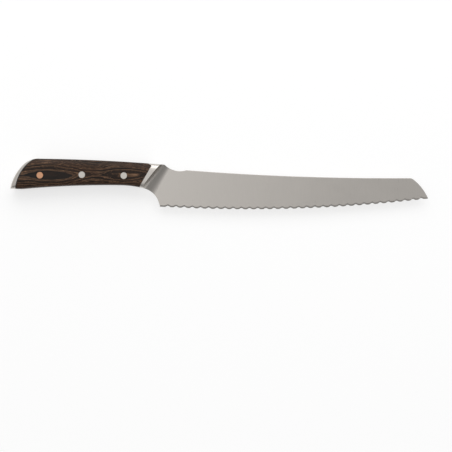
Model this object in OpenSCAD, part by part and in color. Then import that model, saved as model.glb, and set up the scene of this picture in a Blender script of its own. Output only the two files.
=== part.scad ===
// Bread knife: a scalloped blade welded to a bolster, a full tang with a welded butt cap,
// and two wooden scales held by three two-piece cutler's rivets.
// Outlines are drawn with X = 0 at the butt and Y = 0 near the rivets. The knife lies on
// its side: X runs towards the tip, Y towards the spine and Z through the thickness.

/* [Overall] */
// Butt of the handle to the tip of the blade
overall_length = 375; // [365:1:385]
// Heel of the blade to its tip, along the edge
edge_length = 241.6; // [232:0.2:250]
// Thickness of the handle across both scales
handle_thickness = 19; // [17:0.5:22]

/* [Blade] */
// Depth of the toothed edge below the level of the rivets
edge_drop = 30.8; // [30:0.05:32]
// Radius of the long curve along the edge
edge_radius = 1340; // [1200:10:1500]
// Radius of the long hollow curve of the spine
spine_radius = 2375; // [2200:5:2700]
// Height of the spine near the tip, on the scale that has the rivets near zero
spine_tip_y = -2.75; // [-3.5:0.05:-2]
// Radius of the round nose between spine and tip
nose_radius = 42; // [38:1:50]
// Thickness of the blade at the spine by the bolster
spine_thickness = 2.4; // [2:0.1:3]
// Thickness of the blade at the toothed edge
edge_thickness = 0.6; // [0.5:0.05:1]
// Distance from one gullet to the next
tooth_pitch = 7.35; // [6:0.05:9]
// Depth of a gullet
tooth_depth = 1.2; // [0.8:0.1:1.6]
// Width of the bevel ground along the teeth, on the upper side only
bevel_width = 1.3; // [1:0.1:1.8]

/* [Handle] */
// Height of the handle's top above the level of the rivets
grip_crown_y = 14.6; // [13.8:0.1:15.4]
// Radius of the long curve on top of the handle
grip_top_radius = 1506; // [1200:2:1900]
// Depth of the hollow underside below the level of the rivets
grip_belly_y = 8.95; // [8.5:0.05:9.5]
// Radius of the hollow underside
grip_belly_radius = 844; // [780:1:960]
// Radius of the rounded shoulders of the handle
shoulder_radius = 4.6; // [3:0.1:5]
// Radius of the rounded butt, seen from the side
butt_radius = 41; // [40:0.5:42]
// Radius of the joint between butt cap and wood
cap_joint_radius = 36; // [35:0.5:36.5]
// Thickness of the dark liner between butt cap and wood
liner_thickness = 0.8; // [0.5:0.1:1.2]
// Thickness of the full tang
tang_thickness = 2.4; // [2:0.1:3]

/* [Bolster] */
// Angle of the wood joint from the length of the knife
joint_angle = 60; // [58:0.1:68]
// Angle of the weld line between bolster and blade
weld_angle = 61; // [58:0.5:64]
// Radius of the hollow grind at the spine
grind_radius_top = 9.1; // [8.6:0.1:10.5]
// Radius of the hollow grind at the throat
grind_radius_low = 14.2; // [12.5:0.1:16]
// Radius of the thumb relief in the spine
thumb_radius = 20; // [18:0.5:22]

/* [Rivets] */
// Diameter of the rivet heads
rivet_head_d = 6.2; // [5.6:0.1:8]
// Thickness of the rivet heads
rivet_head_t = 2.2; // [1.5:0.1:2.6]
// Outer diameter of the hollow half's sleeve
rivet_sleeve_d = 4.4; // [4:0.1:5]
// Diameter of the solid half's stem
rivet_stem_d = 3; // [2.4:0.1:3.4]
// Distance from the butt to the rear rivet
rivet_rear_x = 27; // [25:0.1:30]
// Distance of the rivets below the handle's middle line
rivet_drop = 2.2; // [0:0.1:3]
// Distance from one rivet to the next
rivet_spacing = 37.45; // [36:0.05:38.5]

/* [Hidden] */

mid_z = handle_thickness / 2;
heel_x = overall_length - edge_length;
// The row's origin is the centre of the bounding box in X and Y
origin_shift = [-overall_length / 2, (edge_drop - grip_crown_y) / 2, 0];
reach = 60; // half size of the blocks that cut one piece from the next

// Butt, butt cap and grip
butt_centre_y = -20.2;
butt_foot_y = -12.3; // where the round butt meets the underside, at X = 0
butt_centre = [sqrt(butt_radius ^ 2 - (butt_foot_y - butt_centre_y) ^ 2), butt_centre_y];
cap_joint_centre = [cap_joint_radius + 4.6, -16];
cap_reach = 30; // the butt cap and its liners lie within this distance of the butt
grip_crown_x = 10.3;
grip_top_centre = [grip_crown_x, grip_crown_y - grip_top_radius];
butt_fillet = 19; // rounds the butt into the top of the handle
grip_end_x = heel_x + 15; // the handle's form runs on past the weld line

// The throat under the bolster: a long arc and a tight one, tangent to each other
belly_end = [heel_x - 36.4, -grip_belly_y - 0.1];
belly_centre = [belly_end[0] - 10, -grip_belly_y - grip_belly_radius];
throat_radius = 88;
heel_radius = 18.5;
throat_turn = 75; // direction from the arcs' centres to the point where they meet
throat_centre = belly_end - [0, throat_radius];
heel_centre = throat_centre + (throat_radius - heel_radius) * dir(throat_turn);
heel_turn = 5; // the tight arc ends at the heel of the blade
weld_foot_turn = 40; // the weld line starts here on the tight arc

// Joints of the bolster, on each side of its full-thickness band
joint_foot = [heel_x - 17.6, -10.9];
joint_corner = joint_foot + 21.9 * dir(joint_angle);
joint_top = joint_corner + [-4.5, 3];
weld_foot = heel_centre + heel_radius * dir(weld_foot_turn);
skin = 0.02; // keeps the grind from leaving a sliver along the weld line
weld_top = weld_foot + 32 * dir(weld_angle);
thumb_centre = [heel_x + 18.5, 3.6 + thumb_radius];
spine_peak_x = heel_x + 24.2; // the thumb relief ends and the spine begins

// Blade
wedge_ref_y = 5; // where the blade has its spine thickness
wedge_slope = (spine_thickness - edge_thickness) / 2 / (wedge_ref_y + edge_drop);
wedge_angle = atan(wedge_slope);
spine_low_x = overall_length - 33;
edge_low_x = heel_x + 81;
tip = [overall_length, edge_y(overall_length)];
nose_turn = 22.6; // direction from the nose's centre to the tip
nose_centre = tip - nose_radius * dir(nose_turn);
nose_fillet = 4.5;
first_gullet_x = heel_x + 7.5;
plain_tip = 5; // no gullet is ground this near the tip
tooth_count = floor((overall_length - plain_tip - first_gullet_x) / tooth_pitch) + 1;
steps_per_tooth = 8;
edge_land = 0.08; // the edge is blunt by this much, as a ground edge is
heel_corner = 0.3; // the heel stands this far ahead of the tight arc's end

function dir(a) = [cos(a), sin(a)];
function arc(centre, r, from, to, steps) =
    [for (i = [0:steps]) centre + r * dir(from + (to - from) * i / steps)];
function circle_y(centre, r, x, side) = centre[1] + side * sqrt(r * r - (x - centre[0]) ^ 2);

function edge_y(x) = circle_y([edge_low_x, edge_radius - edge_drop], edge_radius, x, -1);
function spine_y(x) = circle_y([spine_low_x, spine_tip_y + spine_radius], spine_radius, x, -1);
function half_thickness(y) = spine_thickness / 2 + (y - wedge_ref_y) * wedge_slope;

// A gullet is narrow and the tooth between two gullets is broad and round
function gullet(x) = tooth_depth * (0.5 + 0.5 * cos(360 * (x - first_gullet_x) / tooth_pitch)) ^ 1.7;
function tooth_x(i) = first_gullet_x + (i / steps_per_tooth - 0.5) * tooth_pitch;
function toothed_y(x) = edge_y(x) + gullet(x);
tooth_line = [
    for (i = [0:tooth_count * steps_per_tooth]) [tooth_x(i), toothed_y(tooth_x(i))]
];

// Outline of the handle, drawn smaller by inset; the hollow arcs grow as the round ones shrink
function grip_outline(inset) =
    let (
        top_r = grip_top_radius - inset,
        butt_r = butt_radius - inset,
        foot_angle = 180 - asin((butt_foot_y + inset - butt_centre[1]) / butt_r),
        fillet_y = grip_crown_y - butt_fillet,
        fillet_x = circle_x(butt_centre, butt_radius - butt_fillet, fillet_y),
        fillet_angle = atan2(fillet_y - butt_centre[1], fillet_x - butt_centre[0])
    )
    concat(
        [
            for (i = [1:9])
                let (x = belly_end[0] * i / 10)
                [x, circle_y(belly_centre, grip_belly_radius + inset, x, 1)]
        ],
        arc(throat_centre, throat_radius + inset, 90, throat_turn + 1.5, 6),
        arc(heel_centre, heel_radius + inset, throat_turn, heel_turn, 10),
        [[grip_end_x, heel_centre[1]]],
        [
            for (i = [0:12])
                let (x = grip_end_x + (fillet_x + 4 - grip_end_x) * i / 12)
                [x, circle_y(grip_top_centre, top_r, x, 1)]
        ],
        arc([fillet_x, fillet_y], butt_fillet - inset, 90, fillet_angle, 6),
        arc(butt_centre, butt_r, fillet_angle + 3, foot_angle, 9)
    );
function circle_x(centre, r, y) = centre[0] - sqrt(r * r - (y - centre[1]) ^ 2);

// Rings of the handle's form: [height, inset], round over both shoulders
shoulder_rings = [
    [-0.6, shoulder_radius * 1.25],
    for (a = [25:21.6:90]) shoulder_radius * [1 - cos(a), 1 - sin(a)],
];
grip_rings = concat(
    shoulder_rings,
    [for (i = [len(shoulder_rings) - 1:-1:0])
        [handle_thickness - shoulder_rings[i][0], shoulder_rings[i][1]]]
);

// The whole handle and bolster as one form with rounded shoulders; each piece is cut from it
module grip_form() {
    n = len(grip_outline(0));
    rings = len(grip_rings);
    points = [
        for (ring = grip_rings) for (p = grip_outline(ring[1])) [p[0], p[1], ring[0]]
    ];
    sides = [
        for (k = [0:rings - 2]) for (i = [0:n - 1])
            [k * n + i, (k + 1) * n + i, (k + 1) * n + (i + 1) % n, k * n + (i + 1) % n]
    ];
    intersection() {
        polyhedron(points, concat(
            [[for (i = [0:n - 1]) i]],
            sides,
            [[for (i = [n - 1:-1:0]) (rings - 1) * n + i]]
        ), convexity = 4);
        translate([-reach, -reach, 0])
            cube([overall_length, 2 * reach, handle_thickness]);
    }
}

// The rivets follow the curve of the handle, a little under its middle
function rivet_place(index) =
    let (x = rivet_rear_x + index * rivet_spacing)
    [x, (circle_y(grip_top_centre, grip_top_radius, x, 1)
        + circle_y(belly_centre, grip_belly_radius, x, 1)) / 2 - rivet_drop, 0];

// Plan of everything behind the bolster's wood joint
module behind_bolster() {
    polygon([
        [-reach, -reach], joint_foot - reach * dir(joint_angle), joint_corner, joint_top,
        joint_top + [-reach / 4, reach], [-reach, reach]
    ]);
}

// Plan of everything in front of the cap's curved joint, moved forward by gap
module ahead_of_cap(gap) {
    union() {
        translate(cap_joint_centre) circle(r = cap_joint_radius - gap, $fn = 180);
        translate([cap_reach, -reach]) square([overall_length, 2 * reach]);
    }
}

module rivet_bores() {
    for (i = [0:2]) translate(rivet_place(i)) {
        cylinder(h = rivet_head_t, d = rivet_head_d, $fn = 64);
        translate([0, 0, handle_thickness - rivet_head_t])
            cylinder(h = rivet_head_t, d = rivet_head_d, $fn = 64);
        cylinder(h = handle_thickness, d = rivet_sleeve_d, $fn = 48);
    }
}

// One wooden scale, from z_low to z_high
module scale_half(z_low, z_high) {
    difference() {
        intersection() {
            grip_form();
            translate([0, 0, z_low]) linear_extrude(z_high - z_low) intersection() {
                behind_bolster();
                ahead_of_cap(liner_thickness);
            }
        }
        rivet_bores();
    }
}

// One side of the dark liner between butt cap and wood
module liner_half(z_low, z_high) {
    intersection() {
        grip_form();
        translate([0, 0, z_low]) linear_extrude(z_high - z_low) intersection() {
            translate([-reach, -reach]) square([reach + cap_reach - 2, 2 * reach]);
            difference() {
                translate(cap_joint_centre) circle(r = cap_joint_radius, $fn = 180);
                translate(cap_joint_centre)
                    circle(r = cap_joint_radius - liner_thickness, $fn = 180);
            }
        }
    }
}

// Cone that grinds one side of the bolster down to the blade, tangent to it along the weld
module bolster_grind() {
    run = 24;
    overrun = 8;
    radius_step = (grind_radius_low - grind_radius_top) / run;
    translate([0, wedge_ref_y, mid_z + spine_thickness / 2])
        rotate([wedge_angle, 0, 0])
        translate([weld_foot[0] + skin, weld_foot[1] - wedge_ref_y, 0])
        rotate([0, 0, weld_angle])
        rotate([0, atan(radius_step), 0])
        translate([-overrun, 0, grind_radius_low])
        rotate([0, 90, 0])
        cylinder(
            h = run + 2 * overrun,
            r1 = grind_radius_low + overrun * radius_step,
            r2 = grind_radius_top - overrun * radius_step,
            $fn = 128
        );
}

module thumb_relief() {
    translate([thumb_centre[0], thumb_centre[1], -1])
        cylinder(h = handle_thickness + 2, r = thumb_radius, $fn = 180);
}

// Plan of the blade with its toothed edge and round nose
module blade_plan() {
    fillet_y = spine_tip_y - nose_fillet;
    fillet_x = nose_centre[0]
        + sqrt((nose_radius - nose_fillet) ^ 2 - (fillet_y - nose_centre[1]) ^ 2);
    fillet_angle = atan2(fillet_y - nose_centre[1], fillet_x - nose_centre[0]);
    tip_angle = atan2(tip[1] - nose_centre[1], tip[0] - nose_centre[0]);
    polygon(concat(
        [weld_foot],
        [for (p = arc(heel_centre, heel_radius, throat_turn, heel_turn, 14))
            if (p[0] > weld_foot[0] + heel_corner) p],
        [[heel_x + heel_corner, edge_y(heel_x)]],
        tooth_line,
        arc(nose_centre, nose_radius, tip_angle, fillet_angle, 10),
        arc([fillet_x, fillet_y], nose_fillet, fillet_angle + 5, 90, 6),
        [for (i = [1:16])
            let (x = fillet_x + (spine_peak_x - fillet_x) * i / 16) [x, spine_y(x)]],
        [[spine_peak_x, grip_crown_y - 3], weld_top]
    ));
}

// Cross-section of the blade, thick at the spine and thin at the edge, swept along X
module blade_wedge() {
    low = -edge_drop - 3;
    high = grip_crown_y;
    translate([0, 0, mid_z]) rotate([90, 0, 90])
        linear_extrude(overall_length + 5)
        polygon([
            [low, -half_thickness(low)], [high, -half_thickness(high)],
            [high, half_thickness(high)], [low, half_thickness(low)],
        ]);
}

// Bevel along the teeth: a three-sided bar that follows every gullet
module edge_bevel() {
    over = 0.5;
    stations = concat([[heel_x - 3, edge_y(heel_x)], [tooth_x(0) - 2, edge_y(tooth_x(0))]],
        tooth_line, [[overall_length + 3, tip[1]]]);
    n = len(stations);
    points = [
        for (p = stations)
            let (
                back = mid_z - half_thickness(p[1]) + edge_land,
                face = mid_z + half_thickness(p[1] + bevel_width),
                rise = face - back
            )
            each [
                [p[0], p[1] - over * bevel_width, back - over * rise],
                [p[0], p[1] + (1 + over) * bevel_width, face + over * rise],
                [p[0], p[1] - over * bevel_width, face + over * rise],
            ]
    ];
    sides = [
        for (k = [0:n - 2]) for (i = [0:2])
            [3 * k + i, 3 * (k + 1) + i, 3 * (k + 1) + (i + 1) % 3, 3 * k + (i + 1) % 3]
    ];
    polyhedron(points, concat([[0, 1, 2]], sides, [[3 * n - 1, 3 * n - 2, 3 * n - 3]]), convexity = 6);
}

// Solid half of a rivet: head on the upper side, stem down inside the sleeve
module rivet_stud(index) {
    translate(rivet_place(index)) {
        translate([0, 0, handle_thickness - rivet_head_t])
            cylinder(h = rivet_head_t, d = rivet_head_d, $fn = 64);
        translate([0, 0, rivet_head_t])
            cylinder(h = handle_thickness - 2 * rivet_head_t, d = rivet_stem_d, $fn = 48);
    }
}

// Hollow half of a rivet: head on the lower side, sleeve up through scales and tang
module rivet_sleeve(index) {
    translate(rivet_place(index)) {
        cylinder(h = rivet_head_t, d = rivet_head_d, $fn = 64);
        translate([0, 0, rivet_head_t]) difference() {
            cylinder(h = handle_thickness - 2 * rivet_head_t, d = rivet_sleeve_d, $fn = 48);
            cylinder(h = handle_thickness - 2 * rivet_head_t, d = rivet_stem_d, $fn = 48);
        }
    }
}

module blade() {
    color("silver") translate(origin_shift) difference() {
        intersection() {
            linear_extrude(handle_thickness) blade_plan();
            blade_wedge();
        }
        thumb_relief();
        edge_bevel();
    }
}

module bolster() {
    color("lightgray") translate(origin_shift) difference() {
        intersection() {
            grip_form();
            linear_extrude(handle_thickness) difference() {
                polygon([
                    weld_foot, weld_top, [weld_top[0], reach], [0, reach],
                    [0, -reach], weld_foot - 2 * dir(weld_angle)
                ]);
                behind_bolster();
            }
        }
        bolster_grind();
        translate([0, 0, handle_thickness]) mirror([0, 0, 1]) bolster_grind();
        thumb_relief();
    }
}

module tang() {
    color("gray") translate(origin_shift) difference() {
        translate([0, 0, mid_z - tang_thickness / 2]) linear_extrude(tang_thickness)
            intersection() {
                polygon(grip_outline(0));
                behind_bolster();
                ahead_of_cap(0);
            }
        rivet_bores();
    }
}

module butt_cap() {
    color("lightgray") translate(origin_shift) intersection() {
        grip_form();
        linear_extrude(handle_thickness) difference() {
            translate([-reach, -reach]) square([reach + cap_reach - 2, 2 * reach]);
            ahead_of_cap(0);
        }
    }
}

module front_scale() {
    color("saddlebrown") translate(origin_shift)
        scale_half(mid_z + tang_thickness / 2, handle_thickness);
}

module back_scale() {
    color("saddlebrown") translate(origin_shift) scale_half(0, mid_z - tang_thickness / 2);
}

module front_liner() {
    color("black") translate(origin_shift)
        liner_half(mid_z + tang_thickness / 2, handle_thickness);
}

module back_liner() {
    color("black") translate(origin_shift) liner_half(0, mid_z - tang_thickness / 2);
}

module rear_rivet_stud() { color("peru") translate(origin_shift) rivet_stud(0); }
module rear_rivet_sleeve() { color("peru") translate(origin_shift) rivet_sleeve(0); }
module middle_rivet_stud() { color("silver") translate(origin_shift) rivet_stud(1); }
module middle_rivet_sleeve() { color("silver") translate(origin_shift) rivet_sleeve(1); }
module front_rivet_stud() { color("silver") translate(origin_shift) rivet_stud(2); }
module front_rivet_sleeve() { color("silver") translate(origin_shift) rivet_sleeve(2); }

blade();
bolster();
tang();
butt_cap();
front_scale();
back_scale();
front_liner();
back_liner();
rear_rivet_stud();
rear_rivet_sleeve();
middle_rivet_stud();
middle_rivet_sleeve();
front_rivet_stud();
front_rivet_sleeve();
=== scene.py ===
# Bread knife lying on its side on a pale table: scalloped satin blade welded to a hollow-ground
# bolster, full tang, welded butt cap, laminated wooden scales, dark liners and three rivets.
# Shapes are drawn in millimetres: X from the butt to the tip, Y up from the handle's middle
# line and Z from the table. Turns and angles are in degrees.
import bmesh
import bpy
from math import acos, asin, atan, atan2, cos, degrees, pi, radians, sin, sqrt
from mathutils import Matrix, Vector


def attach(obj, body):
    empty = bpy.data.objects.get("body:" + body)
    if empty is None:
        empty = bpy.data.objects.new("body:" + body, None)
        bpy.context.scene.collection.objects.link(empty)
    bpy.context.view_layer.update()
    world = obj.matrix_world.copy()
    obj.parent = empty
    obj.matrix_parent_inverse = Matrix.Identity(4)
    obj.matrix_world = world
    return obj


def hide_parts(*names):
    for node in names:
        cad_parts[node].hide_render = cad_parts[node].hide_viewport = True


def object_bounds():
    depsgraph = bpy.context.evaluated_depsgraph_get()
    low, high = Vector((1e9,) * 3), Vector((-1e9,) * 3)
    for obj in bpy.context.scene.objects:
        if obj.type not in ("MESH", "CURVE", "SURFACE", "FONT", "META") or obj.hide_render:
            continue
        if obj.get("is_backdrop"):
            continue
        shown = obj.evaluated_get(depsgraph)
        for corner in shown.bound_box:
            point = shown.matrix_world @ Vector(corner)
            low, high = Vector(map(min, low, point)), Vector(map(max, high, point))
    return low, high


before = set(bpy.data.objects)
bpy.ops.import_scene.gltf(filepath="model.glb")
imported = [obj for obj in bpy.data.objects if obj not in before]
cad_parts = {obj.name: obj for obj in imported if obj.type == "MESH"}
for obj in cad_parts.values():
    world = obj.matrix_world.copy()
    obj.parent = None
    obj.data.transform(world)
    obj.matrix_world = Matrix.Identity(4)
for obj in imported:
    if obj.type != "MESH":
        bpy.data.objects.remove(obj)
cad_low, cad_high = (Vector(corner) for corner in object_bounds())

# ---- Blade ----
# The blade is a strip of stainless steel ground as one thin wedge from spine to edge, then
# satin-finished. A wheel has ground 32 gullets into the edge, and a bevel along them on the
# upper side only. It is butt-welded to the bolster, and the weld is ground away.
MM = 0.001
LENGTH = 375.0
CROWN_Y = 14.6
HANDLE_T = 19.0
MID_Z = HANDLE_T / 2
HEEL_X = 133.4
EDGE_DROP = 30.8
EDGE_R = 1340.0
EDGE_LOW_X = HEEL_X + 81
SPINE_R = 2375.0
SPINE_CENTRE = (LENGTH - 33, SPINE_R - 2.75)
SPINE_T = 2.4
EDGE_T = 0.6
WEDGE_REF_Y = 5.0
WEDGE_SLOPE = (SPINE_T - EDGE_T) / 2 / (WEDGE_REF_Y + EDGE_DROP)
TOOTH_PITCH = 7.35
TOOTH_DEPTH = 1.2
TOOTH_COUNT = 32
TOOTH_STEPS = 16
TOOTH_SHARPNESS = 1.7
FIRST_GULLET_X = HEEL_X + 7.5
BEVEL_W = 1.3
EDGE_LAND = 0.08
HEEL_CORNER = 0.3
NOSE_R = 42.0
NOSE_FILLET_R = 4.5
NOSE_TURN = 22.6
NOSE_STEPS = 24
NOSE_FILLET_STEPS = 10
SPINE_STEPS = 40
ARC_STEPS = 16
SPINE_PEAK_X = HEEL_X + 24.2
SPINE_ROUNDING = 0.3
SPINE_ROUNDING_STEPS = 6
BLADE_CRISP = 20.0
THUMB_R = 20.0
THUMB_CENTRE = (HEEL_X + 18.5, 3.6 + THUMB_R)
THROAT_R = 88.0
HEEL_ARC_R = 18.5
THROAT_TURN = 75.0
HEEL_TURN = 5.0
WELD_ANGLE = 61.0
WELD_FOOT_TURN = 40.0
BELLY_Y = 8.95
BELLY_END = (HEEL_X - 36.4, -BELLY_Y - 0.1)
THROAT_CENTRE = (BELLY_END[0], BELLY_END[1] - THROAT_R)


def on_arc(centre, radius, turn):
    return (centre[0] + radius * cos(radians(turn)), centre[1] + radius * sin(radians(turn)))


def arc_points(centre, radius, start, end, steps):
    return [on_arc(centre, radius, start + (end - start) * i / steps) for i in range(steps + 1)]


def circle_y(centre, radius, x, side):
    return centre[1] + side * sqrt(radius ** 2 - (x - centre[0]) ** 2)


def edge_y(x):
    return circle_y((EDGE_LOW_X, EDGE_R - EDGE_DROP), EDGE_R, x, -1)


def spine_y(x):
    return circle_y(SPINE_CENTRE, SPINE_R, x, -1)


def half_thickness(y):
    return SPINE_T / 2 + (y - WEDGE_REF_Y) * WEDGE_SLOPE


def gullet(x):
    wave = 0.5 + 0.5 * cos(2 * pi * (x - FIRST_GULLET_X) / TOOTH_PITCH)
    return TOOTH_DEPTH * wave ** TOOTH_SHARPNESS


HEEL_CENTRE = on_arc(THROAT_CENTRE, THROAT_R - HEEL_ARC_R, THROAT_TURN)
WELD_FOOT = on_arc(HEEL_CENTRE, HEEL_ARC_R, WELD_FOOT_TURN)


def meet_circle(start, turn, centre, radius):
    # First point at which a line from start in direction turn meets a circle.
    dx, dy = start[0] - centre[0], start[1] - centre[1]
    b = dx * cos(radians(turn)) + dy * sin(radians(turn))
    t = -b - sqrt(b * b - dx * dx - dy * dy + radius ** 2)
    return on_arc(start, t, turn)


def turn_of(centre, point):
    return degrees(atan2(point[1] - centre[1], point[0] - centre[0]))


def plan_face(bm, outline):
    return bm.faces.new([bm.verts.new((x, y, 0)) for x, y in outline])


def prism(outline, low, high):
    bm = bmesh.new()
    face = plan_face(bm, outline)
    grown = bmesh.ops.extrude_face_region(bm, geom=[face])["geom"]
    for v in bm.verts:
        v.co.z = low
    for v in grown:
        if isinstance(v, bmesh.types.BMVert):
            v.co.z = high
    bmesh.ops.recalc_face_normals(bm, faces=bm.faces)
    return bm


def to_object(bm, name):
    # A piece or a cutting tool, still in drawing millimetres.
    mesh = bpy.data.meshes.new(name)
    bm.to_mesh(mesh)
    bm.free()
    piece = bpy.data.objects.new(name, mesh)
    bpy.context.scene.collection.objects.link(piece)
    return piece


def finish_piece(piece, material, node, crisp=30.0):
    # From drawing millimetres, with the butt at X = 0, to metres in the shared frame. Edges
    # that turn by more than crisp stay sharp.
    corner = Vector((cad_low.x, cad_high.y - CROWN_Y * MM, cad_low.z))
    piece.data.transform(Matrix.Translation(corner) @ Matrix.Scale(MM, 4))
    piece.data.materials.clear()
    piece.data.materials.append(material)
    for face in piece.data.polygons:
        face.use_smooth = True
    piece.data.set_sharp_from_angle(angle=radians(crisp))
    even = piece.modifiers.new("even_shading", "WEIGHTED_NORMAL")
    even.keep_sharp = True
    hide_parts(node)
    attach(piece, "root")
    return piece


def linear(hex_colour):
    channels = [int(hex_colour[i:i + 2], 16) / 255 for i in (1, 3, 5)]
    return tuple(c / 12.92 if c <= 0.04045 else ((c + 0.055) / 1.055) ** 2.4 for c in channels) + (1,)


def new_material(name):
    material = bpy.data.materials.new(name)
    material.use_nodes = True
    material.node_tree.nodes.clear()
    return material, material.node_tree


def add(tree, kind, inputs=None, **settings):
    # Adds one node; an input is a value, or a (node, output name) pair to link from.
    node = tree.nodes.new("ShaderNode" + kind)
    for key, value in settings.items():
        setattr(node, key, value)
    for key, value in (inputs or {}).items():
        if isinstance(value, tuple) and isinstance(value[0], bpy.types.Node):
            tree.links.new(value[0].outputs[value[1]], node.inputs[key])
        else:
            node.inputs[key].default_value = value
    return node


# Ground metal: the belt leaves scratches across the piece, which blur its reflections, and
# faint clouds about 22 mm wide where the belt pressed harder. Real scratches are about
# 0.1 mm apart, and are drawn coarser so that they show.
CLOUD_MM = 22.2


def ground_metal(name, colour, roughness, scratch_mm, scratch_along, relief):
    # Scratches scratch_mm apart and scratch_along long.
    material, tree = new_material(name)
    place = add(tree, "TexCoord")
    grain = (1 / (scratch_mm * MM), 1 / (scratch_along * MM), 1 / (scratch_along * MM))
    lay = add(tree, "Mapping", {"Vector": (place, "Object"), "Scale": grain}, vector_type="POINT")
    scratches = add(tree, "TexNoise", {"Vector": (lay, "Vector"), "Scale": 1.0, "Detail": 3.0})
    clouds = add(
        tree, "TexNoise", {"Vector": (place, "Object"), "Scale": 1 / (CLOUD_MM * MM), "Detail": 4.0}
    )
    blend = add(tree, "Mix", {0: 0.35, 2: (scratches, "Fac"), 3: (clouds, "Fac")}, data_type="FLOAT")
    tone = add(
        tree, "MapRange",
        {"Value": (blend, "Result"), "From Min": 0.3, "From Max": 0.7, "To Min": 0.965, "To Max": 1.025}
    )
    shade = add(
        tree, "Mix", {0: 1.0, 6: linear(colour), 7: (tone, "Result")},
        data_type="RGBA", blend_type="MULTIPLY"
    )
    rough = add(
        tree, "MapRange",
        {"Value": (blend, "Result"), "From Min": 0.3, "From Max": 0.7,
         "To Min": roughness - 0.04, "To Max": roughness + 0.05}
    )
    bump = add(
        tree, "Bump",
        {"Height": (scratches, "Fac"), "Strength": relief, "Distance": 0.02 * MM}
    )
    skin = add(
        tree, "BsdfPrincipled",
        {"Base Color": (shade, "Result"), "Metallic": 1.0, "Roughness": (rough, "Result"),
         "Normal": (bump, "Normal")}
    )
    add(tree, "OutputMaterial", {"Surface": (skin, "BSDF")})
    return material


# Stainless steel, satin-ground: a soft warm-grey sheen with no clear reflections.
blade_steel = ground_metal("stainless_steel_satin_ground", "#C9C4BE", 0.31, 0.3, 12.0, 0.04)


def blade_mesh():
    # The plan, drawn up to the top of the bevel, then the bevel strip grown from its lower side.
    tooth_xs = [
        FIRST_GULLET_X + (i / TOOTH_STEPS - 0.5) * TOOTH_PITCH
        for i in range(TOOTH_COUNT * TOOTH_STEPS + 1)
    ]
    tip = (LENGTH, edge_y(LENGTH))
    nose_centre = on_arc(tip, -NOSE_R, NOSE_TURN)
    fillet_y = SPINE_CENTRE[1] - SPINE_R - NOSE_FILLET_R
    fillet_x = nose_centre[0] + sqrt((NOSE_R - NOSE_FILLET_R) ** 2 - (fillet_y - nose_centre[1]) ** 2)
    fillet_turn = turn_of(nose_centre, (fillet_x, fillet_y))
    heel_corner = (HEEL_X + HEEL_CORNER, edge_y(HEEL_X))
    bevel_line = [heel_corner] + [(x, edge_y(x) + gullet(x)) for x in tooth_xs] + [tip]
    bevel_turn = NOSE_TURN + degrees(BEVEL_W / NOSE_R)
    bevel_top = [(x, y + BEVEL_W) for x, y in bevel_line]
    bevel_top[-1] = on_arc(nose_centre, NOSE_R, bevel_turn)
    nose = arc_points(nose_centre, NOSE_R, NOSE_TURN, fillet_turn, NOSE_STEPS)
    nose = [p for p in nose if turn_of(nose_centre, p) > bevel_turn + 0.5]
    fillet_start = fillet_turn + 6
    fillet = arc_points(
        (fillet_x, fillet_y), NOSE_FILLET_R, fillet_start, 90, NOSE_FILLET_STEPS
    )
    spine_step = (SPINE_PEAK_X - fillet_x) / SPINE_STEPS
    spine_xs = [fillet_x + spine_step * i for i in range(1, SPINE_STEPS + 1)]
    spine = [(x, spine_y(x)) for x in spine_xs]
    weld_end = meet_circle(WELD_FOOT, WELD_ANGLE, THUMB_CENTRE, THUMB_R)
    thumb = arc_points(
        THUMB_CENTRE, THUMB_R, turn_of(THUMB_CENTRE, spine[-1]), turn_of(THUMB_CENTRE, weld_end),
        ARC_STEPS
    )[1:]
    heel = arc_points(HEEL_CENTRE, HEEL_ARC_R, WELD_FOOT_TURN, HEEL_TURN, ARC_STEPS)
    heel = [p for p in heel if p[1] > bevel_top[0][1] + 0.2]
    bm = bmesh.new()
    face = plan_face(bm, bevel_top + nose + fillet + spine + thumb + heel)
    top_verts = list(face.verts)[:len(bevel_top)]
    rail = [e for e in face.edges if e.verts[0] in top_verts and e.verts[1] in top_verts]
    grown = bmesh.ops.extrude_edge_only(bm, edges=rail)["geom"]
    strip = sorted((v for v in grown if isinstance(v, bmesh.types.BMVert)), key=lambda v: v.co.x)
    for v, (x, y) in zip(strip, bevel_line):
        v.co = (x, y, 0)
    edge_spots = {(round(v.co.x, 3), round(v.co.y, 3)) for v in strip}
    lower = bmesh.ops.extrude_face_region(bm, geom=bm.faces[:])["geom"]
    lower_verts = {v for v in lower if isinstance(v, bmesh.types.BMVert)}
    for v in bm.verts:
        half = half_thickness(v.co.y)
        if v in lower_verts:
            v.co.z = MID_Z - half
        elif (round(v.co.x, 3), round(v.co.y, 3)) in edge_spots:
            v.co.z = MID_Z - half + EDGE_LAND
        else:
            v.co.z = MID_Z + half
    bmesh.ops.recalc_face_normals(bm, faces=bm.faces)
    # The long corners of the spine, nose and thumb relief, clear of the teeth and the weld: they
    # turn by more than corner, in radians, and stay level to within level.
    corner = 1.2
    level = 0.5
    clear_x = THUMB_CENTRE[0] - 6
    teeth_clearance = 4
    back = [
        e for e in bm.edges
        if e.calc_face_angle(0) > corner
        and all(v.co.x > clear_x and v.co.y > edge_y(v.co.x) + teeth_clearance for v in e.verts)
        and abs(e.verts[0].co.z - e.verts[1].co.z) < level
    ]
    bmesh.ops.bevel(
        bm, geom=back, offset=SPINE_ROUNDING, segments=SPINE_ROUNDING_STEPS, profile=0.5,
        affect="EDGES", material=-1
    )
    return bm


blade = to_object(blade_mesh(), "blade_scalloped")
finish_piece(blade, blade_steel, "blade", BLADE_CRISP)

# ---- Bolster ----
# A cast or forged block of stainless steel, welded between tang and blade. It has the handle's full
# thickness at the wood, and a cone-shaped wheel hollows it down to the blade on both sides.

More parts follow.
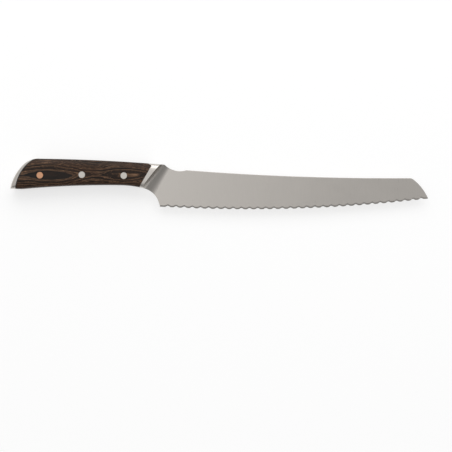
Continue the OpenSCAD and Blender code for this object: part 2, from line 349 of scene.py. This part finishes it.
# Bolster, cap, liners and scales are ground together after assembly, so each is cut from one
# rounded form, and their outer faces are flush. Both shoulders of the form round in by
# CROWN_REACH and down by CROWN_DEPTH, on a superellipse.
GRIP_TOP_R = 1506.0
GRIP_TOP_CENTRE = (10.3, CROWN_Y - GRIP_TOP_R)
BUTT_FILLET_R = 19.0
BUTT_R = 41.0
BUTT_FOOT_Y = -12.3
BUTT_CENTRE_Y = -20.2
BUTT_CENTRE = (sqrt(BUTT_R ** 2 - (BUTT_FOOT_Y - BUTT_CENTRE_Y) ** 2), BUTT_CENTRE_Y)
BELLY_R = 844.0
BELLY_CENTRE = (BELLY_END[0] - 10, -BELLY_Y - BELLY_R)
CROWN_REACH = 10.0
CROWN_DEPTH = 5.0
CROWN_POWER = 3.2
CROWN_STEPS = 16
BELLY_STEPS = 36
TOP_STEPS = 30
THROAT_STEPS = 14
GRIP_ARC_STEPS = 24
GRIP_END_X = HEEL_X + 15


def grip_outline(inset):
    # Outline of the handle, drawn smaller by inset; hollow arcs grow as the round ones shrink.
    fillet_y = CROWN_Y - BUTT_FILLET_R
    fillet_x = BUTT_CENTRE[0] - sqrt((BUTT_R - BUTT_FILLET_R) ** 2 - (fillet_y - BUTT_CENTRE[1]) ** 2)
    fillet_turn = turn_of(BUTT_CENTRE, (fillet_x, fillet_y))
    foot_turn = 180 - degrees(asin((BUTT_FOOT_Y + inset - BUTT_CENTRE_Y) / (BUTT_R - inset)))
    foot_x = BUTT_CENTRE[0] + (BUTT_R - inset) * cos(radians(foot_turn))
    belly_start = max(BELLY_END[0] / 10, foot_x + 1.2)
    belly_step = (BELLY_END[0] - belly_start) / BELLY_STEPS
    belly_xs = [belly_start + belly_step * i for i in range(BELLY_STEPS)]
    top_step = (fillet_x + 4 - GRIP_END_X) / TOP_STEPS
    top_xs = [GRIP_END_X + top_step * i for i in range(TOP_STEPS + 1)]
    return (
        [(x, circle_y(BELLY_CENTRE, BELLY_R + inset, x, 1)) for x in belly_xs]
        + arc_points(THROAT_CENTRE, THROAT_R + inset, 90, THROAT_TURN + 1, THROAT_STEPS)
        + arc_points(HEEL_CENTRE, HEEL_ARC_R + inset, THROAT_TURN, HEEL_TURN, GRIP_ARC_STEPS)
        + [(GRIP_END_X, HEEL_CENTRE[1])]
        + [(x, circle_y(GRIP_TOP_CENTRE, GRIP_TOP_R - inset, x, 1)) for x in top_xs]
        + arc_points((fillet_x, fillet_y), BUTT_FILLET_R - inset, 90, fillet_turn, ARC_STEPS)
        + arc_points(BUTT_CENTRE, BUTT_R - inset, fillet_turn + 1.5, foot_turn, GRIP_ARC_STEPS)
    )


def handle_form(name):
    # Grown ring by ring from the flat underside, round over both shoulders. Each corner keeps
    # its number on the outline as it is extruded.
    turns = [radians(90 * i / CROWN_STEPS) for i in range(CROWN_STEPS + 1)]
    rings = [
        (CROWN_DEPTH * (1 - max(cos(t), 0) ** (2 / CROWN_POWER)),
         CROWN_REACH * (1 - sin(t) ** (2 / CROWN_POWER)))
        for t in turns
    ]
    rings += [(HANDLE_T - height, inset) for height, inset in rings[::-1]]
    bm = bmesh.new()
    number = bm.verts.layers.int.new("number")
    face = plan_face(bm, grip_outline(rings[0][1]))
    for i, v in enumerate(face.verts):
        v[number] = i
    inner = []
    for height, inset in rings[1:]:
        outline = grip_outline(inset)
        grown = bmesh.ops.extrude_face_region(bm, geom=[face])["geom"]
        face = next(part for part in grown if isinstance(part, bmesh.types.BMFace))
        inner.append(face)
        for v in face.verts:
            v.co = (*outline[v[number]], height)
    bmesh.ops.delete(bm, geom=inner[:-1], context="FACES_ONLY")
    bmesh.ops.recalc_face_normals(bm, faces=bm.faces)
    return to_object(bm, name)


def carve(piece, tool, operation):
    # Cuts the piece with the tool, and keeps the result as the piece's own mesh.
    bpy.context.view_layer.update()
    step = piece.modifiers.new("carve", "BOOLEAN")
    step.operation = operation
    step.solver = "EXACT"
    step.object = tool
    done = bpy.data.meshes.new_from_object(
        piece.evaluated_get(bpy.context.evaluated_depsgraph_get())
    )
    piece.modifiers.clear()
    piece.data = done
    bpy.data.objects.remove(tool)
    return piece


REACH = 60.0
BELOW = -5.0
ABOVE = HANDLE_T + 5.0
JOINT_ANGLE = 60.0
JOINT_FOOT = (HEEL_X - 17.6, -10.9)
JOINT_RUN = 21.9
JOINT_CORNER = on_arc(JOINT_FOOT, JOINT_RUN, JOINT_ANGLE)
JOINT_TOP = (JOINT_CORNER[0] - 4.5, JOINT_CORNER[1] + 3)
GRIND_R_TOP = 9.1
GRIND_R_LOW = 14.2
GRIND_RUN = 24.0
GRIND_OVERRUN = 8.0
GRIND_STEPS = 256
SKIN = 0.02

behind_bolster = [
    (-REACH, -REACH), on_arc(JOINT_FOOT, -REACH, JOINT_ANGLE), JOINT_CORNER, JOINT_TOP,
    (JOINT_TOP[0] - REACH / 4, JOINT_TOP[1] + REACH), (-REACH, REACH)
]
past_weld = [
    on_arc(WELD_FOOT, -REACH, WELD_ANGLE), (2 * LENGTH, -REACH), (2 * LENGTH, REACH),
    on_arc(WELD_FOOT, REACH, WELD_ANGLE)
]


def grind_cone(side):
    # The wheel's cone, tangent to one side of the blade along the weld; side is 1 or -1.
    slope = (GRIND_R_LOW - GRIND_R_TOP) / GRIND_RUN
    length = GRIND_RUN + 2 * GRIND_OVERRUN
    bm = bmesh.new()
    bmesh.ops.create_cone(
        bm, cap_ends=True, segments=GRIND_STEPS, depth=length,
        radius1=GRIND_R_LOW + GRIND_OVERRUN * slope, radius2=GRIND_R_TOP - GRIND_OVERRUN * slope
    )
    bm.transform(Matrix.Translation((0, 0, length / 2)))
    bm.transform(Matrix.Rotation(pi / 2, 4, "Y"))
    bm.transform(Matrix.Translation((-GRIND_OVERRUN, 0, side * GRIND_R_LOW)))
    bm.transform(Matrix.Rotation(side * atan(slope), 4, "Y"))
    bm.transform(Matrix.Rotation(radians(WELD_ANGLE), 4, "Z"))
    bm.transform(Matrix.Translation((WELD_FOOT[0] + SKIN, WELD_FOOT[1] - WEDGE_REF_Y, 0)))
    bm.transform(Matrix.Rotation(side * atan(WEDGE_SLOPE), 4, "X"))
    bm.transform(Matrix.Translation((0, WEDGE_REF_Y, MID_Z + side * SPINE_T / 2)))
    return to_object(bm, "grind_tool")


def drill(x, y, diameter, low, high, steps=64):
    # A round cutting tool through these heights.
    bm = bmesh.new()
    bmesh.ops.create_cone(
        bm, cap_ends=True, segments=steps, depth=high - low, radius1=diameter / 2,
        radius2=diameter / 2
    )
    bm.transform(Matrix.Translation((x, y, (low + high) / 2)))
    return to_object(bm, "drill")


bolster = handle_form("bolster_hollow_ground")
carve(bolster, to_object(prism(behind_bolster, BELOW, ABOVE), "tool"), "DIFFERENCE")
carve(bolster, to_object(prism(past_weld, BELOW, ABOVE), "tool"), "DIFFERENCE")
carve(bolster, grind_cone(1), "DIFFERENCE")
carve(bolster, grind_cone(-1), "DIFFERENCE")
thumb_cutter = drill(*THUMB_CENTRE, 2 * THUMB_R, -HANDLE_T / 2, 1.5 * HANDLE_T, GRIND_STEPS)
carve(bolster, thumb_cutter, "DIFFERENCE")
finish_piece(bolster, blade_steel, "bolster")

# ---- Tang ----
# A full tang: the flat steel of the blade's stock, welded behind the bolster and running to the
# butt between the two scales. Its ground edge shows all along the handle, and three holes take
# the rivets.
TANG_T = 2.4
CAP_JOINT_R = 36.0
CAP_JOINT_CENTRE = (CAP_JOINT_R + 4.6, -16.0)
CAP_REACH = 30.0
JOINT_STEPS = 120
TANG_LOW = MID_Z - TANG_T / 2
TANG_HIGH = MID_Z + TANG_T / 2


def joint_arc(radius, x_end):
    # The curved joint from its lower end to its upper end, both at x_end.
    half_turn = degrees(acos((x_end - CAP_JOINT_CENTRE[0]) / radius))
    return arc_points(CAP_JOINT_CENTRE, radius, -half_turn, -360 + half_turn, JOINT_STEPS)


def ahead_of_cap(gap, front):
    # Plan of everything in front of the cap's joint; front is a list of points past it.
    return joint_arc(CAP_JOINT_R - gap, CAP_REACH + 2) + front


grip_plan = [
    (JOINT_TOP[0] - REACH / 4, JOINT_TOP[1] + REACH), JOINT_TOP, JOINT_CORNER,
    on_arc(JOINT_FOOT, -REACH, JOINT_ANGLE)
]

RIVET_HEAD_D = 6.2
RIVET_HEAD_T = 2.2
SLEEVE_D = 4.4
STEM_D = 3.0
RIVET_DROP = 2.2
REAR_RIVET_X = 27.0
RIVET_PITCH = 37.45
rivet_spots = {}
for index, rivet in enumerate(("rear", "middle", "front")):
    rivet_x = REAR_RIVET_X + RIVET_PITCH * index
    top_y = circle_y(GRIP_TOP_CENTRE, GRIP_TOP_R, rivet_x, 1)
    belly_y = circle_y(BELLY_CENTRE, BELLY_R, rivet_x, 1)
    rivet_spots[rivet] = (rivet_x, (top_y + belly_y) / 2 - RIVET_DROP)

# Stainless steel, its edge ground along the handle's outline: duller than the blade.
tang_steel = ground_metal("stainless_steel_ground_edge", "#B4AFA8", 0.34, 0.4, 3.0, 0.3)
tang = handle_form("tang_full")
tang_stock = prism(ahead_of_cap(0, grip_plan), TANG_LOW, TANG_HIGH)
carve(tang, to_object(tang_stock, "tool"), "INTERSECT")
for x, y in rivet_spots.values():
    carve(tang, drill(x, y, SLEEVE_D, 0, HANDLE_T), "DIFFERENCE")
finish_piece(tang, tang_steel, "tang")

# ---- Butt cap ----
# A solid stainless steel cap, curved where it meets the liners and welded to the end of the
# tang. It is ground with the scales and then brushed finer than the blade.

# Stainless steel, finely brushed: bright where the light strikes, mid-grey elsewhere.
fitting_steel = ground_metal("stainless_steel_fine_satin", "#C9C4BE", 0.30, 0.3, 6.0, 0.04)
butt_cap = handle_form("butt_cap_curved")
grip_block = prism(ahead_of_cap(0, [(LENGTH, REACH), (LENGTH, -REACH)]), BELOW, ABOVE)
carve(butt_cap, to_object(grip_block, "tool"), "DIFFERENCE")
finish_piece(butt_cap, fitting_steel, "butt_cap")

# ---- Liners ----
# A thin strip of black fibre between the butt cap and each scale. It is glued in with the
# scale, takes up the gap at the curved joint, and shows as a dark line.
LINER_T = 0.8
FLECK_MM = 0.4

# Vulcanised fibre, ground flush: near-black and matt, with faint paler flecks 0.4 mm wide.
liner_fibre, liner_tree = new_material("vulcanised_fibre_black")
liner_place = add(liner_tree, "TexCoord")
liner_fleck = add(
    liner_tree, "TexNoise",
    {"Vector": (liner_place, "Object"), "Scale": 1 / (FLECK_MM * MM), "Detail": 3.0}
)
liner_tone = add(
    liner_tree, "Mix", {0: (liner_fleck, "Fac"), 6: linear("#0D0C0B"), 7: linear("#242220")},
    data_type="RGBA"
)
liner_skin = add(
    liner_tree, "BsdfPrincipled", {"Base Color": (liner_tone, "Result"), "Roughness": 0.5}
)
add(liner_tree, "OutputMaterial", {"Surface": (liner_skin, "BSDF")})

sides = {"front": (TANG_HIGH, HANDLE_T + 1), "back": (-1, TANG_LOW)}
for side, (low, high) in sides.items():
    liner = handle_form("liner_" + side)
    outer = joint_arc(CAP_JOINT_R, CAP_REACH - 2)
    inner = joint_arc(CAP_JOINT_R - LINER_T, CAP_REACH - 2)
    ring = outer + inner[::-1]
    carve(liner, to_object(prism(ring, low, high), "tool"), "INTERSECT")
    finish_piece(liner, liner_fibre, side + "_liner")

# ---- Scales ----
# Two grip scales of laminated wood: dyed veneers pressed with resin into a block, sawn, glued
# and riveted to the tang, and ground to the handle's rounded form.

# Laminated wood, oiled and buffed: near-black and brown lines a millimetre or so apart, in long ovals
# where the grinding cuts through the layers, with a low sheen.
wood, wood_tree = new_material("laminated_wood_dark_oiled")
wood_place = add(wood_tree, "TexCoord")
# Drawing millimetres, with Z from the middle of the handle.
wood_mm = add(
    wood_tree, "Mapping",
    {"Vector": (wood_place, "Object"), "Scale": (1000, 1000, 1000),
     "Location": (LENGTH / 2, -(EDGE_DROP - CROWN_Y) / 2, -MID_Z)},
    vector_type="POINT"
)
# The ovals are centred every FIGURE_LENGTH mm from X = FIGURE_START and swell by FIGURE_SWING,
# and the layers sink by FIGURE_TILT for each millimetre towards the blade.
FIGURE_LENGTH = 67.0
FIGURE_START = 38.0
FIGURE_SWING = 1.8
FIGURE_SHIFT = -3.5
FIGURE_TILT = 0.05
VEIN_SOFTNESS = 3.0
LAYER_LEAN = 0.8
wood_split = add(wood_tree, "SeparateXYZ", {"Vector": (wood_mm, "Vector")})


def streaks(length_mm, width_mm, detail, offset):
    # Noise drawn out along the grain, this long and this wide.
    lay = add(
        wood_tree, "Mapping",
        {"Vector": (wood_mm, "Vector"), "Location": (offset, 0, 0),
         "Scale": (1 / length_mm, 1 / width_mm, 1 / width_mm)},
        vector_type="POINT"
    )
    return add(wood_tree, "TexNoise", {"Vector": (lay, "Vector"), "Scale": 1.0, "Detail": detail})


# The layers swell towards the faces in two long ovals, whose cut edges make the figure. First
# the ovals' middle line, which sways a little, and the distance across the grain from it.
SWAY_MM = 4.4
MIDDLE_SWAY = 1.6
MIDDLE_Y = -0.9
sway = streaks(30.0, 9.0, 3.0, 3.7)
middle = add(
    wood_tree, "Math", {0: (sway, "Fac"), 1: MIDDLE_SWAY, 2: MIDDLE_Y}, operation="MULTIPLY_ADD"
)
across = add(wood_tree, "Math", {0: (wood_split, "Y"), 1: (middle, "Value")}, operation="SUBTRACT")
across_squared = add(
    wood_tree, "Math", {0: (across, "Value"), 1: (across, "Value"), 2: VEIN_SOFTNESS},
    operation="MULTIPLY_ADD"
)
across_far = add(wood_tree, "Math", {0: (across_squared, "Value")}, operation="SQRT")
# Then the ovals themselves, as a wave along the grain that moves the layers in and out.
along = add(
    wood_tree, "Math",
    {0: (wood_split, "X"), 1: 2 * pi / FIGURE_LENGTH, 2: -2 * pi * FIGURE_START / FIGURE_LENGTH},
    operation="MULTIPLY_ADD"
)
swell = add(wood_tree, "Math", {0: (along, "Value")}, operation="COSINE")
from_oval = add(
    wood_tree, "Math", {0: (swell, "Value"), 1: -FIGURE_SWING, 2: (across_far, "Value")},
    operation="MULTIPLY_ADD"
)
tilted = add(
    wood_tree, "Math", {0: (wood_split, "X"), 1: FIGURE_TILT, 2: (from_oval, "Value")},
    operation="MULTIPLY_ADD"
)
# The layers lean with depth, so that the figure carries on over the shoulders, and sway.
depth = add(wood_tree, "Math", {0: (wood_split, "Z")}, operation="ABSOLUTE")
layer_start = FIGURE_SHIFT + LAYER_LEAN * MID_Z - FIGURE_TILT * FIGURE_START - SWAY_MM / 2
leaned = add(
    wood_tree, "Math", {0: (depth, "Value"), 1: -LAYER_LEAN, 2: layer_start},
    operation="MULTIPLY_ADD"
)
flat = add(wood_tree, "Math", {0: (tilted, "Value"), 1: (leaned, "Value")}, operation="ADD")
swayed = add(
    wood_tree, "Math", {0: (sway, "Fac"), 1: SWAY_MM, 2: (flat, "Value")},
    operation="MULTIPLY_ADD"
)
FINE_SWAY_MM = 2.6
fine = streaks(17.0, 1.1, 4.0, 0.0)
layer = add(
    wood_tree, "Math", {0: (fine, "Fac"), 1: FINE_SWAY_MM, 2: (swayed, "Value")},
    operation="MULTIPLY_ADD"
)
# Each layer takes its dye from this ramp: near-black to light brown, about one line to a
# millimetre. The layers in the ovals' heart are the darkest.
BANDS_PER_MM = 1.05
BANDS = (
    (0.32, "#0F0906"), (0.43, "#1A110C"), (0.48, "#2C2018"), (0.54, "#483426"), (0.61, "#806149"),
    (0.70, "#3E3026")
)
band_at = add(wood_tree, "Math", {0: (layer, "Value"), 1: BANDS_PER_MM}, operation="MULTIPLY")
band = add(
    wood_tree, "TexNoise", {"W": (band_at, "Value"), "Scale": 1.0, "Detail": 3.0, "Roughness": 0.62},
    noise_dimensions="1D"
)
band_colour = add(wood_tree, "ValToRGB", {"Fac": (band, "Fac")})
ramp = band_colour.color_ramp
while len(ramp.elements) < len(BANDS):
    ramp.elements.new(0.5)
for stop, (spot, colour) in zip(ramp.elements, BANDS):
    stop.position = spot
    stop.color = linear(colour)
heart = add(
    wood_tree, "MapRange",
    {"Value": (layer, "Value"), "From Min": -0.6, "From Max": 1.3, "To Min": 0.85, "To Max": 0.0}
)
layer_colour = add(
    wood_tree, "Mix", {0: (heart, "Result"), 6: (band_colour, "Color"), 7: linear("#1B1816")},
    data_type="RGBA"
)
# Pores and fibres, 9 mm long and 0.45 mm wide, and patches of a warmer brown.
fibre = streaks(9.0, 0.45, 4.0, 11.0)
fibre_tone = add(
    wood_tree, "MapRange",
    {"Value": (fibre, "Fac"), "From Min": 0.3, "From Max": 0.7, "To Min": 0.55, "To Max": 1.3}
)
fibre_colour = add(
    wood_tree, "Mix", {0: 1.0, 6: (layer_colour, "Result"), 7: (fibre_tone, "Result")},
    data_type="RGBA", blend_type="MULTIPLY"
)
warm = streaks(22.0, 6.0, 2.0, 31.0)
warm_share = add(
    wood_tree, "MapRange",
    {"Value": (warm, "Fac"), "From Min": 0.45, "From Max": 0.75, "To Min": 0.0, "To Max": 0.5}
)
wood_colour = add(
    wood_tree, "Mix",
    {0: (warm_share, "Result"), 6: (fibre_colour, "Result"), 7: linear("#3A2113")},
    data_type="RGBA"
)
wood_rough = add(
    wood_tree, "MapRange",
    {"Value": (fibre, "Fac"), "From Min": 0.3, "From Max": 0.7, "To Min": 0.52, "To Max": 0.40}
)
wood_bump = add(
    wood_tree, "Bump", {"Height": (fibre, "Fac"), "Strength": 0.3, "Distance": 0.06 * MM}
)
wood_skin = add(
    wood_tree, "BsdfPrincipled",
    {"Base Color": (wood_colour, "Result"), "Roughness": (wood_rough, "Result"),
     "Specular IOR Level": 0.2, "Normal": (wood_bump, "Normal")}
)
add(wood_tree, "OutputMaterial", {"Surface": (wood_skin, "BSDF")})

for side, (low, high) in sides.items():
    scale = handle_form("scale_" + side)
    blank = prism(ahead_of_cap(LINER_T, grip_plan), low, high)
    carve(scale, to_object(blank, "tool"), "INTERSECT")
    head_low, head_high = (HANDLE_T - RIVET_HEAD_T, ABOVE) if side == "front" else (BELOW, RIVET_HEAD_T)
    for x, y in rivet_spots.values():
        carve(scale, drill(x, y, RIVET_HEAD_D, head_low, head_high), "DIFFERENCE")
        carve(scale, drill(x, y, SLEEVE_D, BELOW, ABOVE), "DIFFERENCE")
    finish_piece(scale, wood, side + "_scale")

# ---- Rivets ----
# Two-piece cutler's rivets: a solid half is pressed into a hollow half from the other side, and
# both heads are ground flush with the wood. The rear one is copper, the others are steel.
HEAD_ROUNDING = 0.25
HEAD_CROWN = 0.02
RIVET_STEPS = 64
MERGE = 1e-4

# Copper, ground and left bare: a pinkish metal with an even, fine grain.
copper = ground_metal("copper_faced_off", "#CE9C7B", 0.36, 0.3, 0.3, 0.2)
# Stainless steel, ground the same way: a little lighter than the blade.
pin_steel = ground_metal("stainless_steel_rivet", "#CCC7C1", 0.36, 0.3, 0.3, 0.2)


def turned(profile, x, y, name):
    # A round piece from its profile of (radius, height) points, spun about its own axis.
    bm = bmesh.new()
    verts = [bm.verts.new((r, 0, z)) for r, z in profile]
    edges = [bm.edges.new(pair) for pair in zip(verts, verts[1:])]
    bmesh.ops.spin(
        bm, geom=verts + edges, cent=(0, 0, 0), axis=(0, 0, 1), angle=2 * pi,
        steps=RIVET_STEPS, use_merge=True
    )
    bmesh.ops.remove_doubles(bm, verts=bm.verts, dist=MERGE)
    bmesh.ops.recalc_face_normals(bm, faces=bm.faces)
    bm.transform(Matrix.Translation((x, y, 0)))
    return to_object(bm, name)


for rivet, (x, y) in rivet_spots.items():
    metal, slot = (copper, "copper_rivet") if rivet == "rear" else (pin_steel, "steel_rivet")
    r = RIVET_HEAD_D / 2
    under = HANDLE_T - RIVET_HEAD_T
    stud = turned(
        [(0, HANDLE_T), (r - HEAD_ROUNDING, HANDLE_T - HEAD_CROWN), (r, HANDLE_T - HEAD_ROUNDING),
         (r, under), (STEM_D / 2, under), (STEM_D / 2, RIVET_HEAD_T), (0, RIVET_HEAD_T)],
        x, y, "rivet_stud_" + rivet
    )
    finish_piece(stud, metal, rivet + "_rivet_stud")
    sleeve = turned(
        [(0, 0), (r - HEAD_ROUNDING, HEAD_CROWN), (r, HEAD_ROUNDING), (r, RIVET_HEAD_T),
         (SLEEVE_D / 2, RIVET_HEAD_T), (SLEEVE_D / 2, under), (STEM_D / 2, under),
         (STEM_D / 2, RIVET_HEAD_T), (0, RIVET_HEAD_T)],
        x, y, "rivet_sleeve_" + rivet
    )
    finish_piece(sleeve, metal, rivet + "_rivet_sleeve")

# ---- Table ----
# A large sheet of matt white card under the knife. It is given a faint glow of its own, which
# stands in for light thrown around a white studio and keeps the shadows pale.
TABLE_HALF = 3.0
table_paper, table_tree = new_material("white_card")
table_skin = add(
    table_tree, "BsdfPrincipled",
    {"Base Color": linear("#ACACAC"), "Roughness": 0.9, "Emission Color": (1, 1, 1, 1),
     "Emission Strength": 0.66}
)
add(table_tree, "OutputMaterial", {"Surface": (table_skin, "BSDF")})
bm = bmesh.new()
bmesh.ops.create_grid(bm, x_segments=2, y_segments=2, size=TABLE_HALF)
table_mesh = bpy.data.meshes.new("table")
bm.to_mesh(table_mesh)
bm.free()
table = bpy.data.objects.new("table", table_mesh)
bpy.context.scene.collection.objects.link(table)
table.data.materials.append(table_paper)
table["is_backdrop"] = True

# ---- Light and camera ----
# Soft studio light: a bright sky dome towards the butt and the spine, a wide softbox beyond the
# spine and a weak panel above the handle. The camera looks straight down on the knife.
scene = bpy.context.scene
scene.view_settings.view_transform = "Standard"
world = bpy.data.worlds.new("studio")
scene.world = world
world.use_nodes = True
sky = world.node_tree
sky.nodes.clear()
sky_place = add(sky, "TexCoord")
SKY_FACING = (-0.40, 0.58, 0.71)
SKY_DIM = 0.31
SKY_BRIGHT = 0.70
sky_toward = add(
    sky, "VectorMath", {0: (sky_place, "Generated"), 1: SKY_FACING}, operation="DOT_PRODUCT"
)
sky_glow = add(
    sky, "MapRange",
    {"Value": (sky_toward, "Value"), "From Min": 0.05, "From Max": 1.0, "To Min": SKY_DIM,
     "To Max": SKY_BRIGHT},
    interpolation_type="SMOOTHSTEP"
)
sky_light = add(sky, "Background", {"Color": (1, 1, 1, 1), "Strength": (sky_glow, "Result")})
add(sky, "OutputWorld", {"Surface": (sky_light, "Background")})


def softbox(name, spot, target, width, height, watts):
    lamp = bpy.data.lights.new(name, "AREA")
    lamp.shape = "RECTANGLE"
    lamp.size = width
    lamp.size_y = height
    lamp.energy = watts
    holder = bpy.data.objects.new(name, lamp)
    holder.location = spot
    holder.rotation_euler = (Vector(target) - Vector(spot)).to_track_quat("-Z", "Y").to_euler()
    scene.collection.objects.link(holder)


softbox("key", (0.15, 1.25, 1.3), (0, 0, 0), 2.2, 1.3, 15)
softbox("overhead", (-0.28, 0.0, 1.5), (-0.28, 0, 0), 0.6, 1.2, 0.78)

PICTURE_WIDTH = 0.4068
LENS = 100.0
SENSOR = 36.0
AIM_X = 0.0057
AIM_Y = -0.0377
aim = Vector((AIM_X, AIM_Y, MID_Z * MM))
camera_data = bpy.data.cameras.new("camera")
camera_data.lens = LENS
camera_data.sensor_width = SENSOR
camera = bpy.data.objects.new("camera", camera_data)
camera.location = aim + Vector((0, 0, PICTURE_WIDTH * LENS / SENSOR))
scene.collection.objects.link(camera)
scene.camera = camera
